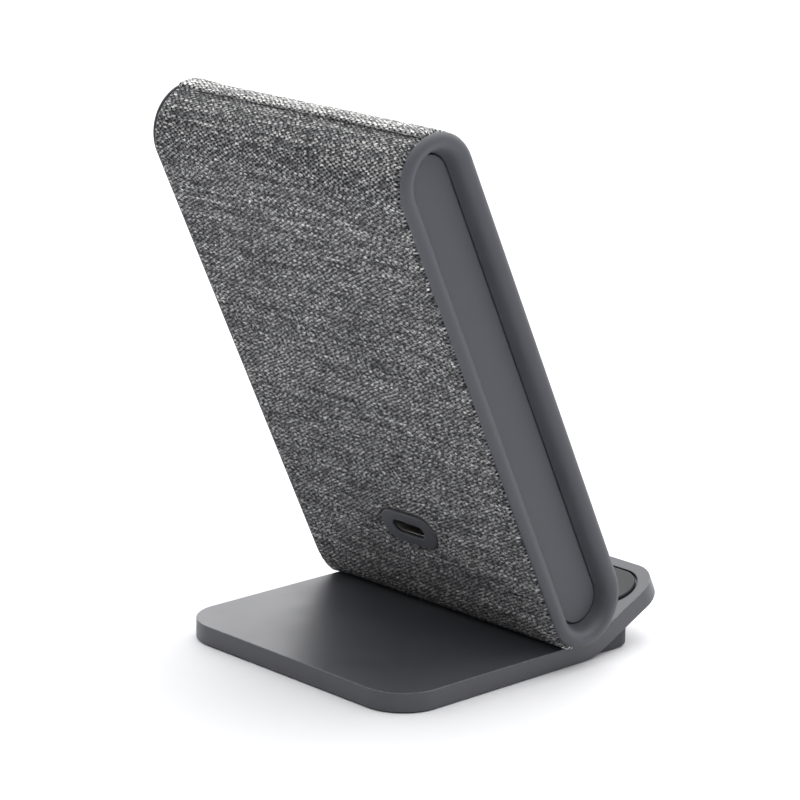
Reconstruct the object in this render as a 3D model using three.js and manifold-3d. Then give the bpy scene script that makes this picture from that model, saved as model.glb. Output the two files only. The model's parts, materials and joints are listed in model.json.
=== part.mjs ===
// Wireless charging stand: a bent metal base plate carries a leaning, fabric-wrapped upright
// with round top and bottom. The upright holds two charging coils and the circuit board.
// Units are millimetres, +Z is up, the phone side faces -Y.

import * as THREE from 'three';
import { mergeVertices } from 'three/addons/utils/BufferGeometryUtils.js';
import Module from 'manifold-3d';

const wasm = await Module();
wasm.setup();

// ---------------------------------------------------------------- driving dimensions

const GAP = 0.3; // clearance kept between neighbouring pieces
const LEAN = THREE.MathUtils.degToRad(26); // the upright leans back from vertical, the ledge rises as much

// base
const PLATE_WIDTH = 67;
const PLATE_THICKNESS = 4;
const PLATE_LIFT = 0.3; // the rubber under the plate stands this proud
const PLATE_REAR = 54.3; // from the bend line to the rear edge
const REAR_CORNER = 9.5;
const LEDGE_LENGTH = 23.2; // from the bend line to the tip, along the ledge
const LEDGE_CORNER = 6.7;
const BEND_RADIUS = 9;

const RUBBER = { width: 59, length: 47.6, corner: 6, thickness: 0.9, middle: PLATE_REAR - 27.8 };
const FOOT = { width: 64.6, rear: 3.4, front: 13.8, corner: 4 }; // the wedge under the ledge
const FOOT_STRIP = { width: 54, length: 6.4, thickness: 0.9, corner: 3, middle: -9.6 };

// upright
const END_SPACING = 102.2; // between the centres of the round bottom and top
const FABRIC_RADIUS = 9.6; // outside of the fabric, half the thickness of the upright
const FABRIC_THICKNESS = 0.9;
const SHELL_RADIUS = FABRIC_RADIUS - FABRIC_THICKNESS - GAP;
const SHELL_WALL = 1.5;
const CAVITY_RADIUS = SHELL_RADIUS - SHELL_WALL;
const FABRIC_END = 35.3; // half the width of the fabric sleeve
const PLANE_OFFSET = 0.09; // the upright's middle plane passes this far behind the bend line

// side rims and the panels set into them
const RIM_RADIUS = 9.8;
const RIM_BEAD = 1.85; // radius of the rounded bead
const RIM_CREST = 36.8; // outermost X of the bead
const BEAD_TURN = THREE.MathUtils.degToRad(158); // where the bead runs into the flared pocket wall
const PANEL_FACE = 33.4; // outer X of the side panel
const PANEL_RADIUS = 5.05;
const PANEL_THICKNESS = 1.2;
const BULKHEAD = 2.4;
const BEAD_STEPS = 8;

// charging port, on the back near the bottom
const PORT_HEIGHT = 15.75; // above the centre of the round bottom
const BEZEL = { width: 15.8, height: 8.2 };
const PORT_OPENING = { width: 9.1, height: 3.34 };
const USB_SHELL = { width: 8.94, height: 3.26, wall: 0.3 };
const TONGUE = { width: 6.7, thickness: 0.7, recess: 0.8 };
const BEZEL_FLANGE = 0.4; // lip in front of the socket
const BEZEL_BARREL = { width: 11.6, height: 5.6 };

// ledge grip pad
const PAD_GROOVE = { length: 62.4, radius: 5.5, centre: 15.4, depth: 1.0 };
const PAD_PLAY = 0.55; // width of the groove left around the pad
const PAD_PROUD = 0.35;

// inside the upright
const COIL = { outer: 20, inner: 9.5, thickness: 1.2 };
const FERRITE = { width: 42, length: 40, corner: 4 };
const COIL_HEIGHTS = { lower: 26, upper: 68 };
const BOARD = { width: 46.2, bottom: 1, top: 46, front: -0.2, back: 1.0 };
const CARRIER = { width: 46, bottom: 0.5, top: 94, front: -3.8, back: -2.6 };
const SCREW_POSTS = { x: 26.4, radius: 2.9, bottom: 12, top: 96 };
const CARRIER_POSTS = { x: 20.5, bottom: 3.2, top: 91 };
const BOARD_POSTS = { x: 20.5, height: 41 };
const SMALL_POST_RADIUS = 2.2;
const POST_WALL = 0.5; // how deep a post's foot goes into the shell wall
const RIM_POST = { radius: 3, from: 20, to: 29 };
const LIGHT_PIPE = { radius: 1.0, height: 3, back: -1.4 };
const STATUS_LED = { width: 1.6, thickness: 0.6, height: 1.0 };
const SPREADER = { width: 36, bottom: 12, top: 84, front: -2.3, back: -1.7 };
const THERMAL_PAD = { left: -14, right: -6, bottom: 24, top: 36, front: -1.4, back: -0.5 };
const LEAD_RADIUS = 0.45;
const LEAD_PITCH = 1.3; // between two leads on the same side

// screws
const SHELL_SCREW = { head: 2.0, headHeight: 0.9, seat: 7.5, shaft: 1.0, tip: -3 };
const SMALL_SCREW = { head: 1.7, headHeight: 0.8, shaft: 0.8, length: 3.6, bore: 6.2 };
const RIM_SCREW = { head: 1.9, headHeight: 0.9, shaft: 1.0, tip: 23, offset: 4.4 };
const MOUNT_SCREW = { x: 14, head: 2.9, headBottom: 1.5, headTop: 3.1, shaft: 1.5, top: 12.2 };

// fixing the upright to the plate
const SADDLE = { width: 40, length: 5, topDrop: 7.9 }; // drop from the centre of the round bottom
const MOUNT_BAR = { width: 38, length: 9, topDrop: 2.6 };
const ROUND_SIDES = 36; // around both round ends together, a multiple of four

// The round bottom stands just over the plate, with the upright square to the ledge.
const PLATE_TOP = PLATE_LIFT + PLATE_THICKNESS;
const CENTRE_LIFT = FABRIC_RADIUS + GAP;
const BOTTOM_CENTRE_Z = PLATE_TOP + CENTRE_LIFT;
const BOTTOM_CENTRE_FROM_BEND = (PLANE_OFFSET + CENTRE_LIFT * Math.sin(LEAN)) / Math.cos(LEAN);
const MOUNT_Y = BOTTOM_CENTRE_FROM_BEND + 0.4; // line of the mount screws, behind the bend of the plate

// End caps and port, in the upright's own directions.
const POCKET_FLOOR = PANEL_FACE - PANEL_THICKNESS - GAP;
const RIM_SEAT = POCKET_FLOOR - 1.2; // under the heads of the rim screws
const BEZEL_FACE = FABRIC_RADIUS + 0.1;
const SOCKET_FRONT = BEZEL_FACE - BEZEL_FLANGE - GAP;
const SOCKET_FLOOR = BOARD.back + GAP + 1.2;
const LED_FRONT = BOARD.front - GAP - STATUS_LED.thickness;
const COIL_FRONT = -CAVITY_RADIUS + GAP;
const FERRITE_FRONT = COIL_FRONT + COIL.thickness + GAP;
const FERRITE_BACK = CARRIER.front - GAP;
const LEAD_X = BOARD.width / 2 + LEAD_RADIUS + 0.6;
const FAR = 40; // beyond every piece, for the tools that cut

// The origin is under the middle of the whole outline.
const TOP_REACH = BOTTOM_CENTRE_FROM_BEND + END_SPACING * Math.sin(LEAN) + RIM_RADIUS;
const TIP_REACH = LEDGE_LENGTH * Math.cos(LEAN) + PLATE_THICKNESS * Math.sin(LEAN);
const BEND_Y = (TIP_REACH - TOP_REACH) / 2;

// ---------------------------------------------------------------- materials

function finish(color, roughness, metalness = 0) {
  return new THREE.MeshStandardMaterial({ color, roughness, metalness });
}

const satinMetal = finish(0x3a3b3f, 0.4, 0.3);
const softGrey = finish(0x5c5e63, 0.6);
const heatherFabric = finish(0x6b6b6b, 0.95);
const darkRubber = finish(0x26272a, 0.85);
const shellPlastic = finish(0x1d1e20, 0.6);
const bezelPlastic = finish(0x3c3d41, 0.5);
const bareSteel = finish(0xb0b2b5, 0.3, 1);
const blackPlastic = finish(0x101010, 0.5);
const copper = finish(0xb36a3c, 0.35, 1);
const ferrite = finish(0x2b2b2d, 0.8);
const aluminium = finish(0xc5c7c9, 0.4, 1);
const boardGreen = finish(0x1d5a38, 0.6);
const clearPlastic = finish(0xe6eeee, 0.1);
const thermalGel = finish(0x8fa3b0, 0.9);
const ceramicTan = finish(0xb59a72, 0.6);

// ---------------------------------------------------------------- solids

function toSolid(geometry) {
  const bare = geometry.clone();
  bare.deleteAttribute('normal');
  bare.deleteAttribute('uv');
  const merged = mergeVertices(bare, 1e-4);
  return new wasm.Manifold(
    new wasm.Mesh({
      numProp: 3,
      vertProperties: new Float32Array(merged.attributes.position.array),
      triVerts: new Uint32Array(merged.index.array),
    }),
  );
}

function toGeometry(solid) {
  const mesh = solid.getMesh();
  const geometry = new THREE.BufferGeometry();
  geometry.setAttribute('position', new THREE.BufferAttribute(mesh.vertProperties, 3));
  geometry.setIndex(new THREE.BufferAttribute(mesh.triVerts, 1));
  return geometry;
}

function join(geometries) {
  return toGeometry(geometries.map(toSolid).reduce((whole, next) => whole.add(next)));
}

function cut(geometry, tools) {
  return toGeometry(tools.map(toSolid).reduce((whole, tool) => whole.subtract(tool), toSolid(geometry)));
}

function common(geometry, tool) {
  return toGeometry(toSolid(geometry).intersect(toSolid(tool)));
}

// The same piece for the other side: mirrored across X, with its faces turned out again.
function mirrored(geometry) {
  const indexed = geometry.index ? geometry.clone() : toGeometry(toSolid(geometry));
  const copy = indexed.scale(-1, 1, 1);
  const index = copy.index.array;
  for (let i = 0; i < index.length; i += 3) {
    [index[i], index[i + 1]] = [index[i + 1], index[i]];
  }
  return copy;
}

// A box given by its lowest and highest corners.
function block(low, high) {
  const size = high.map((value, axis) => value - low[axis]);
  const middle = high.map((value, axis) => (value + low[axis]) / 2);
  return new THREE.BoxGeometry(...size).translate(...middle);
}

// A round bar from one height to another along +Z, before it is turned.
function bar(radius, from, to, sides = 12) {
  return new THREE.CylinderGeometry(radius, radius, to - from, sides)
    .rotateX(Math.PI / 2)
    .translate(0, 0, (from + to) / 2);
}

// A stadium lying along X, centred on (0, height).
function flatStadium(width, height, middle = 0) {
  const radius = height / 2;
  const reach = width / 2 - radius;
  const outline = new THREE.Shape();
  outline.absarc(reach, middle, radius, -Math.PI / 2, Math.PI / 2, false);
  outline.absarc(-reach, middle, radius, Math.PI / 2, 1.5 * Math.PI, false);
  outline.closePath();
  return outline;
}

function roundedRectangle(width, length, corner) {
  const x = width / 2 - corner;
  const y = length / 2 - corner;
  const outline = new THREE.Shape();
  outline.absarc(x, y, corner, 0, Math.PI / 2, false);
  outline.absarc(-x, y, corner, Math.PI / 2, Math.PI, false);
  outline.absarc(-x, -y, corner, Math.PI, 1.5 * Math.PI, false);
  outline.absarc(x, -y, corner, 1.5 * Math.PI, 2 * Math.PI, false);
  outline.closePath();
  return outline;
}

function prism(outline, depth, curveSegments = 12) {
  return new THREE.ExtrudeGeometry(outline, { depth, bevelEnabled: false, curveSegments });
}

// Turns a prism drawn in (Y, Z) and extruded along its own depth so that the depth runs along +X.
const ALONG_X = new THREE.Matrix4().makeBasis(
  new THREE.Vector3(0, 1, 0),
  new THREE.Vector3(0, 0, 1),
  new THREE.Vector3(1, 0, 0),
);

function alongX(geometry, from) {
  return geometry.applyMatrix4(ALONG_X).translate(from, 0, 0);
}

// Turns a prism drawn in (X, Z) so that its depth runs along Y, from the given Y to a higher one.
function alongY(outline, from, to, curveSegments = 8) {
  return prism(outline, to - from, curveSegments).rotateX(Math.PI / 2).translate(0, to, 0);
}

// A lathed profile of [radius, x] points, drawn out into a racetrack: the turning axis lies along X
// at the centre of the round bottom, and the upper half is moved up to the centre of the round top.
function racetrack(profile, sides = ROUND_SIDES) {
  const step = (2 * Math.PI) / sides;
  const points = profile.map(([radius, x]) => new THREE.Vector2(radius, x));
  const geometry = new THREE.LatheGeometry(points, sides, step / 2).rotateZ(-Math.PI / 2);
  const position = geometry.attributes.position;
  for (let i = 0; i < position.count; i += 1) {
    const turn = step / 2 + Math.floor(i / points.length) * step;
    const lift = Math.cos(turn) > 0 ? END_SPACING : 0;
    position.setY(i, position.getY(i) / Math.cos(step / 2));
    position.setZ(i, position.getZ(i) + lift);
  }
  return geometry;
}

// A racetrack tube between two radii and two X positions.
function racetrackTube(outer, inner, from, to) {
  return racetrack([[inner, from], [outer, from], [outer, to], [inner, to], [inner, from]]);
}

// A round bar along Y at (x, z).
function barAlongY(radius, from, to, x, z, sides = 12) {
  return bar(radius, from, to, sides).rotateX(-Math.PI / 2).translate(x, 0, z);
}

// A headed screw along +Z with its head at the bottom.
function screw(head, headHeight, shaft, length, sides = 10) {
  const profile = [
    [0, 0],
    [head, 0],
    [head, headHeight],
    [shaft, headHeight],
    [shaft, length],
    [0, length],
  ];
  const points = profile.map(([radius, height]) => new THREE.Vector2(radius, height));
  return new THREE.LatheGeometry(points, sides).rotateX(Math.PI / 2);
}

const object = new THREE.Group();

// The base frame has its Y zero on the bend line of the plate.
const base = new THREE.Group();
base.position.set(0, BEND_Y, 0);
object.add(base);

// The upright's frame: Z runs up the upright from the centre of its round bottom, +Y out of its back.
const upright = new THREE.Group();
upright.position.set(0, BEND_Y + BOTTOM_CENTRE_FROM_BEND, BOTTOM_CENTRE_Z);
upright.rotation.x = -LEAN;
object.add(upright);

// Turns geometry stated in the base frame into the upright's frame.
const BASE_TO_UPRIGHT = new THREE.Matrix4()
  .makeRotationX(LEAN)
  .multiply(new THREE.Matrix4().makeTranslation(0, -BOTTOM_CENTRE_FROM_BEND, -BOTTOM_CENTRE_Z));

// The ledge's frame: Y runs back from the tip to the bend line at zero, Z out of its top face.
const ledge = new THREE.Group();
ledge.position.set(0, BEND_Y, PLATE_TOP);
ledge.rotation.x = -LEAN;
object.add(ledge);

const LEDGE_TO_BASE = new THREE.Matrix4()
  .makeTranslation(0, 0, PLATE_TOP)
  .multiply(new THREE.Matrix4().makeRotationX(-LEAN));

function add(group, name, geometry, material) {
  const mesh = new THREE.Mesh(geometry, material);
  mesh.name = name;
  group.add(mesh);
  return mesh;
}

// ---------------------------------------------------------------- base

// Side outline of the bent plate in the base frame's (Y, Z): the two arcs share one centre.
function bentPlateOutline() {
  const outer = BEND_RADIUS + PLATE_THICKNESS;
  const arcY = BEND_RADIUS * Math.tan(LEAN / 2);
  const arcZ = PLATE_TOP + BEND_RADIUS;
  const tip = new THREE.Vector2(-Math.cos(LEAN), Math.sin(LEAN)).multiplyScalar(LEDGE_LENGTH);
  tip.y += PLATE_TOP;
  const down = new THREE.Vector2(-Math.sin(LEAN), -Math.cos(LEAN)).multiplyScalar(PLATE_THICKNESS);
  const start = -Math.PI / 2;
  const outline = new THREE.Shape();
  outline.moveTo(PLATE_REAR, PLATE_TOP);
  outline.lineTo(arcY, PLATE_TOP);
  outline.absarc(arcY, arcZ, BEND_RADIUS, start, start - LEAN, true);
  outline.lineTo(tip.x, tip.y);
  outline.lineTo(tip.x + down.x, tip.y + down.y);
  outline.absarc(arcY, arcZ, outer, start - LEAN, start, false);
  outline.lineTo(PLATE_REAR, PLATE_LIFT);
  outline.closePath();
  return outline;
}

// The waste outside one rounded corner, whose point is at the origin and whose plate lies at -X, -Y.
function cornerWaste(radius) {
  const out = 2;
  const waste = new THREE.Shape();
  waste.moveTo(out, out);
  waste.lineTo(-radius, out);
  waste.lineTo(-radius, 0);
  waste.absarc(-radius, -radius, radius, Math.PI / 2, 0, true);
  waste.lineTo(out, -radius);
  waste.closePath();
  return prism(waste, 40, 8).translate(0, 0, -20);
}

// The hollow that takes a rubber pad in an underside, with the gap around and above the pad.
function padHollow({ width, length, corner, thickness, middle }) {
  const outline = roundedRectangle(width + 2 * GAP, length + 2 * GAP, corner);
  return prism(outline, FAR, 6).translate(0, middle, thickness + GAP - FAR);
}

function basePlate() {
  const halfWidth = PLATE_WIDTH / 2;
  const rearRight = cornerWaste(REAR_CORNER).translate(halfWidth, PLATE_REAR, 0);
  const tipRight = cornerWaste(LEDGE_CORNER).rotateZ(-Math.PI / 2);
  tipRight.translate(halfWidth, -LEDGE_LENGTH, 0).applyMatrix4(LEDGE_TO_BASE);
  const rearLeft = cornerWaste(REAR_CORNER).rotateZ(Math.PI / 2).translate(-halfWidth, PLATE_REAR, 0);
  const tipLeft = cornerWaste(LEDGE_CORNER).rotateZ(Math.PI);
  tipLeft.translate(-halfWidth, -LEDGE_LENGTH, 0).applyMatrix4(LEDGE_TO_BASE);

  const { length, radius, centre, depth } = PAD_GROOVE;
  const padRecess = prism(flatStadium(length, 2 * radius, -centre), 5, 8).translate(0, 0, -depth);
  padRecess.applyMatrix4(LEDGE_TO_BASE);

  const rubber = padHollow(RUBBER);

  const tools = [rearRight, tipRight, rearLeft, tipLeft, padRecess, rubber];
  for (const x of [-MOUNT_SCREW.x, MOUNT_SCREW.x]) {
    tools.push(bar(MOUNT_SCREW.head + GAP, 0, MOUNT_SCREW.headTop + GAP).translate(x, MOUNT_Y, 0));
    tools.push(bar(MOUNT_SCREW.shaft + GAP, 0, 10).translate(x, MOUNT_Y, 0));
  }
  const plate = alongX(prism(bentPlateOutline(), PLATE_WIDTH, 8), -halfWidth);
  return cut(plate, tools);
}

add(base, 'base_plate', basePlate(), satinMetal);

function rubberPad({ width, length, corner, thickness, middle }) {
  return prism(roundedRectangle(width, length, corner), thickness, 6).translate(0, middle, 0);
}

add(base, 'base_rubber_pad', rubberPad(RUBBER), darkRubber);

// The grip pad sits in its recess in the ledge.
function ledgeGripPad() {
  const { length, radius, centre, depth } = PAD_GROOVE;
  const outline = flatStadium(length - 2 * PAD_PLAY, 2 * (radius - PAD_PLAY), -centre);
  return prism(outline, depth - GAP + PAD_PROUD, 10).translate(0, 0, GAP - depth);
}

add(ledge, 'ledge_grip_pad', ledgeGripPad(), softGrey);

// The wedge under the ledge: its top follows the ledge, its front corners are round.
function frontFoot() {
  const bendShift = PLATE_THICKNESS * Math.tan(LEAN / 2);
  const underLedge = (distance) => PLATE_LIFT + (distance - bendShift) * Math.tan(LEAN);
  const heightAt = (distance) => underLedge(distance) - GAP / Math.cos(LEAN);
  const side = new THREE.Shape();
  side.moveTo(-FOOT.rear, PLATE_LIFT);
  side.lineTo(-FOOT.rear, heightAt(FOOT.rear));
  side.lineTo(-FOOT.front, heightAt(FOOT.front));
  side.lineTo(-FOOT.front, PLATE_LIFT);
  side.closePath();
  const halfWidth = FOOT.width / 2;
  const wedge = alongX(prism(side, FOOT.width), -halfWidth);
  const right = cornerWaste(FOOT.corner).rotateZ(-Math.PI / 2).translate(halfWidth, -FOOT.front, 0);
  const left = cornerWaste(FOOT.corner).rotateZ(Math.PI).translate(-halfWidth, -FOOT.front, 0);
  return cut(wedge, [right, left, padHollow(FOOT_STRIP)]);
}

add(base, 'front_foot', frontFoot(), darkRubber);

add(base, 'front_foot_strip', rubberPad(FOOT_STRIP), darkRubber);

// ---------------------------------------------------------------- fixing the upright to the plate

// Bars through which the two mount screws pass, in the base frame.
function mountHoles(radius) {
  return [-MOUNT_SCREW.x, MOUNT_SCREW.x].map((x) =>
    bar(radius, 0, BOTTOM_CENTRE_Z).translate(x, MOUNT_Y, 0),
  );
}

// A full round of the given radius about the bottom centre's axis, in the base frame.
function bottomRound(radius, width) {
  const round = new THREE.CylinderGeometry(radius, radius, width, 48).rotateZ(Math.PI / 2);
  return round.translate(0, BOTTOM_CENTRE_FROM_BEND, BOTTOM_CENTRE_Z);
}

// The saddle levels the round shell on the flat plate, in a slot of the fabric.
function seatSaddle() {
  const y = MOUNT_Y;
  const low = [-SADDLE.width / 2, y - SADDLE.length / 2, PLATE_TOP + GAP];
  const high = [SADDLE.width / 2, y + SADDLE.length / 2, BOTTOM_CENTRE_Z - SADDLE.topDrop];
  const tools = [bottomRound(SHELL_RADIUS + GAP, SADDLE.width + 4), ...mountHoles(MOUNT_SCREW.shaft + GAP)];
  return cut(block(low, high), tools);
}

add(base, 'seat_saddle', seatSaddle(), shellPlastic);

// The steel bar inside the shell that the mount screws pull against.
function mountBar() {
  const y = MOUNT_Y;
  const low = [-MOUNT_BAR.width / 2, y - MOUNT_BAR.length / 2, BOTTOM_CENTRE_Z - 9];
  const high = [MOUNT_BAR.width / 2, y + MOUNT_BAR.length / 2, BOTTOM_CENTRE_Z - MOUNT_BAR.topDrop];
  const rounded = common(block(low, high), bottomRound(CAVITY_RADIUS - GAP, MOUNT_BAR.width + 4));
  return cut(rounded, mountHoles(MOUNT_SCREW.shaft + GAP));
}

add(base, 'mount_bar', mountBar(), bareSteel);

for (const [side, x] of [['left', -MOUNT_SCREW.x], ['right', MOUNT_SCREW.x]]) {
  const { head, headBottom, headTop, shaft, top } = MOUNT_SCREW;
  const body = screw(head, headTop - headBottom, shaft, top - headBottom);
  add(base, `mount_screw_${side}`, body, bareSteel).position.set(x, MOUNT_Y, headBottom);
}

// ---------------------------------------------------------------- shells and fabric of the upright

// The part of space in front of, or behind, the joint between the two shells.
function shellSide(front) {
  const [from, to] = front ? [-20, -GAP / 2] : [GAP / 2, 20];
  return block([-40, from, -20], [40, to, END_SPACING + 20]);
}

function fourBars(radius, from, to, x, bottom, top) {
  const corners = [[-x, bottom], [x, bottom], [-x, top], [x, top]];
  return corners.map(([px, z]) => barAlongY(radius, from, to, px, z));
}

function screwPosts(radius, from, to) {
  const { x, bottom, top } = SCREW_POSTS;
  return fourBars(radius, from, to, x, bottom, top);
}

function carrierPosts(radius, from, to) {
  const { x, bottom, top } = CARRIER_POSTS;
  return fourBars(radius, from, to, x, bottom, top);
}

function boardPosts(radius, from, to) {
  const { x, height } = BOARD_POSTS;
  return [-x, x].map((px) => barAlongY(radius, from, to, px, height));
}

// Bosses along X at both ends of the back shell, for the screws of the side rims.
function rimPosts(radius, from, to) {
  const heights = [0, END_SPACING];
  return [-1, 1].flatMap((side) =>
    heights.map((z) => {
      const post = bar(radius, from, to).rotateY((side * Math.PI) / 2);
      return post.translate(0, RIM_SCREW.offset, z);
    }),
  );
}

const inUpright = (geometry) => geometry.applyMatrix4(BASE_TO_UPRIGHT);

function frontShell() {
  const tube = racetrackTube(SHELL_RADIUS, CAVITY_RADIUS, -FABRIC_END, FABRIC_END);
  const half = common(tube, shellSide(true));
  const foot = -CAVITY_RADIUS - POST_WALL;
  const posts = [
    ...screwPosts(SCREW_POSTS.radius, foot, -GAP / 2),
    ...carrierPosts(SMALL_POST_RADIUS, foot, CARRIER.front - GAP),
  ];
  const holes = [
    ...screwPosts(SHELL_SCREW.shaft + GAP, SHELL_SCREW.tip - GAP, 5),
    ...carrierPosts(SMALL_SCREW.shaft + GAP, -SMALL_SCREW.bore, 5),
    barAlongY(LIGHT_PIPE.radius + GAP, -20, 0, 0, LIGHT_PIPE.height),
  ];
  return cut(join([half, ...posts]), holes);
}

function backShell() {
  const tube = racetrackTube(SHELL_RADIUS, CAVITY_RADIUS, -FABRIC_END, FABRIC_END);
  const half = common(tube, shellSide(false));
  const foot = CAVITY_RADIUS + POST_WALL;
  const posts = [
    ...screwPosts(SCREW_POSTS.radius, GAP / 2, foot),
    ...boardPosts(SMALL_POST_RADIUS, BOARD.back + GAP, foot),
    ...rimPosts(RIM_POST.radius, RIM_POST.from, RIM_POST.to),
  ];
  const { width, height } = BEZEL_BARREL;
  const holes = [
    ...screwPosts(SHELL_SCREW.shaft + GAP, -5, 20),
    ...screwPosts(SHELL_SCREW.head + GAP, SHELL_SCREW.seat - GAP, 20),
    ...boardPosts(SMALL_SCREW.shaft + GAP, -5, SMALL_SCREW.bore),
    ...rimPosts(RIM_SCREW.shaft + GAP, RIM_SCREW.tip - GAP, 40),
    alongY(flatStadium(width + 2 * GAP, height + 2 * GAP, PORT_HEIGHT), 4, 20),
    ...mountHoles(MOUNT_SCREW.shaft + GAP).map(inUpright),
  ];
  return cut(join([half, ...posts]), holes);
}

add(upright, 'front_shell', frontShell(), shellPlastic);
add(upright, 'back_shell', backShell(), shellPlastic);

let screwNumber = 0;
for (const z of [SCREW_POSTS.bottom, SCREW_POSTS.top]) {
  for (const x of [-SCREW_POSTS.x, SCREW_POSTS.x]) {
    screwNumber += 1;
    const { head, headHeight, seat, shaft, tip } = SHELL_SCREW;
    const top = seat + headHeight;
    const body = screw(head, headHeight, shaft, top - tip).rotateX(Math.PI / 2);
    add(upright, `shell_screw_${screwNumber}`, body, bareSteel).position.set(x, top, z);
  }
}

// The sleeve wraps the shells all the way round.
function fabricSleeve() {
  const tube = racetrackTube(FABRIC_RADIUS, FABRIC_RADIUS - FABRIC_THICKNESS, -FABRIC_END, FABRIC_END);
  const y = MOUNT_Y;
  const slotLow = [-SADDLE.width / 2 - GAP, y - SADDLE.length / 2 - GAP, 0];
  const slotHigh = [SADDLE.width / 2 + GAP, y + SADDLE.length / 2 + GAP, BOTTOM_CENTRE_Z - 5];
  return cut(tube, [
    inUpright(block(slotLow, slotHigh)),
    alongY(flatStadium(BEZEL.width + 2 * GAP, BEZEL.height + 2 * GAP, PORT_HEIGHT), 4, 20, 12),
    barAlongY(LIGHT_PIPE.radius + GAP, -20, 0, 0, LIGHT_PIPE.height),
  ]);
}

add(upright, 'fabric_sleeve', fabricSleeve(), heatherFabric);

// ---------------------------------------------------------------- side rims and panels, built at +X

// Half section of an end cap as [radius, x]: a plug inside the shells, the bead over the ends of the
// shells and fabric, and the pocket that takes the panel.
function rimProfile() {
  const plugRadius = CAVITY_RADIUS - GAP;
  const rimInner = FABRIC_END + GAP;
  const pocketRadius = PANEL_RADIUS + GAP;
  const bead = new THREE.Vector2(RIM_RADIUS - RIM_BEAD, RIM_CREST - RIM_BEAD);
  const start = Math.asin((rimInner - bead.y) / RIM_BEAD);
  const arc = [];
  for (let i = 0; i <= BEAD_STEPS; i += 1) {
    const turn = start + ((BEAD_TURN - start) * i) / BEAD_STEPS;
    arc.push([bead.x + RIM_BEAD * Math.cos(turn), bead.y + RIM_BEAD * Math.sin(turn)]);
  }
  return [
    [0, POCKET_FLOOR - BULKHEAD],
    [plugRadius, POCKET_FLOOR - BULKHEAD],
    [plugRadius, rimInner],
    ...arc,
    [pocketRadius, PANEL_FACE],
    [pocketRadius, POCKET_FLOOR],
    [0, POCKET_FLOOR],
  ];
}

function sideRim() {
  const holes = [];
  for (const z of [0, END_SPACING]) {
    const lift = (part) => part.rotateY(Math.PI / 2).translate(0, RIM_SCREW.offset, z);
    holes.push(lift(bar(RIM_SCREW.shaft + GAP, 20, 40)));
    holes.push(lift(bar(RIM_SCREW.head + GAP, RIM_SEAT - GAP, 40)));
  }
  return cut(racetrack(rimProfile()), holes);
}

function sidePanel() {
  const back = PANEL_FACE - PANEL_THICKNESS;
  return racetrack([[0, back], [PANEL_RADIUS, back], [PANEL_RADIUS, PANEL_FACE], [0, PANEL_FACE]]);
}

function rimScrew(z) {
  const { head, headHeight, shaft, tip } = RIM_SCREW;
  const top = RIM_SEAT + headHeight;
  const body = screw(head, headHeight, shaft, top - tip).rotateY(-Math.PI / 2);
  return body.translate(top, RIM_SCREW.offset, z);
}

const atPlusX = {
  side_rim: [sideRim(), softGrey],
  side_panel: [sidePanel(), softGrey],
  rim_screw_bottom: [rimScrew(0), bareSteel],
  rim_screw_top: [rimScrew(END_SPACING), bareSteel],
};

for (const [name, [geometry, material]] of Object.entries(atPlusX)) {
  add(upright, `${name}_right`, geometry, material);
  add(upright, `${name}_left`, mirrored(geometry), material);
}

// ---------------------------------------------------------------- charging port

function portBezel() {
  const flange = alongY(
    flatStadium(BEZEL.width, BEZEL.height, PORT_HEIGHT),
    SHELL_RADIUS + GAP,
    BEZEL_FACE,
    10,
  );
  const barrel = alongY(
    flatStadium(BEZEL_BARREL.width, BEZEL_BARREL.height, PORT_HEIGHT),
    SHELL_RADIUS - 1.4,
    SHELL_RADIUS + GAP + 0.2,
  );
  const { width, height } = PORT_OPENING;
  const opening = alongY(flatStadium(width, height, PORT_HEIGHT), 4, 20);
  const clearance = alongY(
    flatStadium(USB_SHELL.width + 2 * GAP, USB_SHELL.height + 2 * GAP, PORT_HEIGHT),
    4,
    BEZEL_FACE - BEZEL_FLANGE,
  );
  return cut(join([flange, barrel]), [opening, clearance]);
}

add(upright, 'port_bezel', portBezel(), bezelPlastic);

// The metal shell of the socket stands on the board and opens out of the back.
function usbShell() {
  const { width, height, wall } = USB_SHELL;
  const body = alongY(flatStadium(width, height, PORT_HEIGHT), BOARD.back + GAP, SOCKET_FRONT);
  const bore = alongY(flatStadium(width - 2 * wall, height - 2 * wall, PORT_HEIGHT), SOCKET_FLOOR, 20);
  return cut(body, [bore]);
}

add(upright, 'usb_c_shell', usbShell(), bareSteel);

function usbTongue() {
  const { width, thickness, recess } = TONGUE;
  const low = [-width / 2, SOCKET_FLOOR + GAP, PORT_HEIGHT - thickness / 2];
  const high = [width / 2, SOCKET_FRONT - recess, PORT_HEIGHT + thickness / 2];
  return block(low, high);
}

add(upright, 'usb_c_tongue', usbTongue(), blackPlastic);

// ---------------------------------------------------------------- circuit board and what it carries

function circuitBoard() {
  const { width, bottom, top, front, back } = BOARD;
  const board = block([-width / 2, front, bottom], [width / 2, back, top]);
  return cut(board, boardPosts(SMALL_SCREW.shaft + GAP, -5, 5));
}

add(upright, 'circuit_board', circuitBoard(), boardGreen);

// Parts soldered on the board's back face: name, width, thickness, height, x, z.
const boardParts = [
  ['charge_controller', 7, 0.9, 7, -10, 31, blackPlastic],
  ['power_inductor', 6.6, 3, 6.6, 12, 30, ferrite],
  ['power_switch_1', 5, 1, 6, -17.5, 30, blackPlastic],
  ['power_switch_2', 5, 1, 6, -17.5, 22, blackPlastic],
  ['coil_capacitor_1', 5, 2.4, 3.2, -8, 41, ceramicTan],
  ['coil_capacitor_2', 5, 2.4, 3.2, 0, 41, ceramicTan],
  ['coil_capacitor_3', 5, 2.4, 3.2, 8, 41, ceramicTan],
];

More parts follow.
